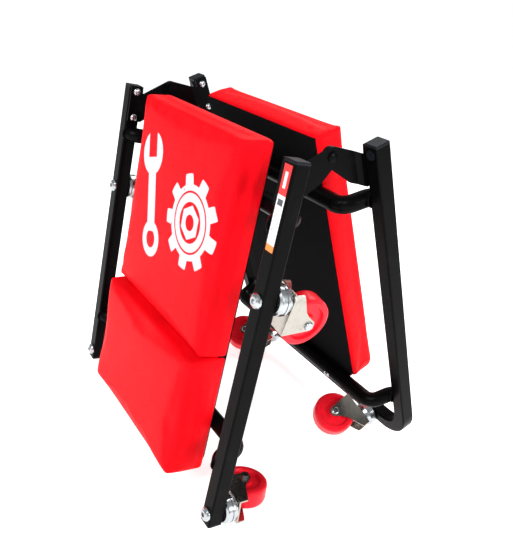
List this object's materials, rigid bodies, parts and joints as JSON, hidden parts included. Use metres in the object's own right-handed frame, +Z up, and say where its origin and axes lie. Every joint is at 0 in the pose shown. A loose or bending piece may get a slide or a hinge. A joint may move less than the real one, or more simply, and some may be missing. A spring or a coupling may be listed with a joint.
{
  "type": "mechanics creeper",
  "caption": "Folding mechanics creeper standing part-folded: two padded steel frames hinged at the top, with swivel casters underneath and a raised headrest",
  "frame": {"origin": "on the floor under the centre of the bounding box", "axes": "+Z up, +X along the hinge axis towards the creeper's right side as it is lain on, +Y from the headrest half to the foot half"},
  "size_m": [0.4222, 0.3614, 0.4695],
  "materials": {
    "red_vinyl": "soft grained vinyl, satin sheen",
    "black_board": "dull black backing sheet on a board",
    "black_plastic": "moulded, satin",
    "printed_label": "printed film, glossy",
    "red_wheel": "moulded polyurethane, satin",
    "zinc_plate": "bright zinc plate",
    "steel_sleeve": "turned steel",
    "chrome": "bright plated",
    "black_paint": "gloss black powder coat"
  },
  "bodies": {
    "head_frame": {"back_pad": "red_vinyl", "head_board": "black_board", "head_board_screws": "chrome", "head_caster_bolts": "chrome", "head_caster_races": "chrome", "head_crossbar_lower": "black_paint", "head_crossbar_upper": "black_paint", "head_hinge_bolts": "chrome", "head_hinge_plates": "black_paint", "head_rail_caps": "black_plastic", "head_rail_left": "black_paint", "head_rail_right": "black_paint", "headrest_pad": "red_vinyl", "hinge_pins": "black_paint", "rail_label": "printed_label"},
    "foot_frame": {"foot_board": "black_board", "foot_board_screws": "chrome", "foot_caster_bolts": "chrome", "foot_caster_races": "chrome", "foot_crossbar_lower": "black_paint", "foot_crossbar_upper": "black_paint", "foot_hinge_bolts": "chrome", "foot_hinge_plates": "black_paint", "foot_pad": "red_vinyl", "foot_rail_plugs": "black_plastic", "foot_tube": "black_paint", "foot_tube_caps": "black_plastic"},
    "head_right_swivel": {"head_right_race": "chrome", "head_right_fork": "zinc_plate", "head_right_axle": "chrome"},
    "head_right_roller": {"head_right_wheel": "red_wheel", "head_right_bearing": "steel_sleeve"},
    "head_left_swivel": {"head_left_race": "chrome", "head_left_fork": "zinc_plate", "head_left_axle": "chrome"},
    "head_left_roller": {"head_left_wheel": "red_wheel", "head_left_bearing": "steel_sleeve"},
    "middle_right_swivel": {"middle_right_race": "chrome", "middle_right_fork": "zinc_plate", "middle_right_axle": "chrome"},
    "middle_right_roller": {"middle_right_wheel": "red_wheel", "middle_right_bearing": "steel_sleeve"},
    "middle_left_swivel": {"middle_left_race": "chrome", "middle_left_fork": "zinc_plate", "middle_left_axle": "chrome"},
    "middle_left_roller": {"middle_left_wheel": "red_wheel", "middle_left_bearing": "steel_sleeve"},
    "foot_right_swivel": {"foot_right_race": "chrome", "foot_right_fork": "zinc_plate", "foot_right_axle": "chrome"},
    "foot_right_roller": {"foot_right_wheel": "red_wheel", "foot_right_bearing": "steel_sleeve"},
    "foot_left_swivel": {"foot_left_race": "chrome", "foot_left_fork": "zinc_plate", "foot_left_axle": "chrome"},
    "foot_left_roller": {"foot_left_wheel": "red_wheel", "foot_left_bearing": "steel_sleeve"}
  },
  "joints": [
    {"name": "fold", "type": "hinge", "parent": "head_frame", "child": "foot_frame", "pos_m": [0, -0.06954, 0.44758], "axis": [1, 0, 0], "range_deg": [-16, 151.34]},
    {"name": "head_right_swivel", "type": "hinge", "parent": "head_frame", "child": "head_right_swivel", "pos_m": [0.1935, -0.14276, 0.02601], "axis": [0, -0.9969, 0.0783], "continuous": true},
    {"name": "head_right_roll", "type": "hinge", "parent": "head_right_swivel", "child": "head_right_roller", "pos_m": [0.16665, -0.09314, 0.01929], "axis": [0.1045, -0.0779, -0.9915], "continuous": true},
    {"name": "head_left_swivel", "type": "hinge", "parent": "head_frame", "child": "head_left_swivel", "pos_m": [-0.1935, -0.14276, 0.02601], "axis": [0, -0.9969, 0.0783], "continuous": true},
    {"name": "head_left_roll", "type": "hinge", "parent": "head_left_swivel", "child": "head_left_roller", "pos_m": [-0.16665, -0.09314, 0.01929], "axis": [0.1045, 0.0779, 0.9915], "continuous": true},
    {"name": "middle_right_swivel", "type": "hinge", "parent": "head_frame", "child": "middle_right_swivel", "pos_m": [0.1935, -0.12116, 0.30117], "axis": [0, -0.9969, 0.0783], "continuous": true},
    {"name": "middle_right_roll", "type": "hinge", "parent": "middle_right_swivel", "child": "middle_right_roller", "pos_m": [0.18881, -0.07339, 0.27075], "axis": [0.9848, -0.0136, -0.1731], "continuous": true},
    {"name": "middle_left_swivel", "type": "hinge", "parent": "head_frame", "child": "middle_left_swivel", "pos_m": [-0.1935, -0.12116, 0.30117], "axis": [0, -0.9969, 0.0783], "continuous": true},
    {"name": "middle_left_roll", "type": "hinge", "parent": "middle_left_swivel", "child": "middle_left_roller", "pos_m": [-0.18881, -0.07339, 0.27075], "axis": [0.9848, 0.0136, 0.1731], "continuous": true},
    {"name": "foot_right_swivel", "type": "hinge", "parent": "foot_frame", "child": "foot_right_swivel", "pos_m": [0.128, 0.1569, 0.04072], "axis": [0, 0.9123, 0.4094], "continuous": true},
    {"name": "foot_right_roll", "type": "hinge", "parent": "foot_right_swivel", "child": "foot_right_roller", "pos_m": [0.10462, 0.10575, 0.03257], "axis": [0.5, -0.3546, 0.7901], "continuous": true},
    {"name": "foot_left_swivel", "type": "hinge", "parent": "foot_frame", "child": "foot_left_swivel", "pos_m": [-0.128, 0.1569, 0.04072], "axis": [0, 0.9123, 0.4094], "continuous": true},
    {"name": "foot_left_roll", "type": "hinge", "parent": "foot_left_swivel", "child": "foot_left_roller", "pos_m": [-0.15138, 0.10575, 0.03257], "axis": [0.5, -0.3546, 0.7901], "continuous": true}
  ]
}
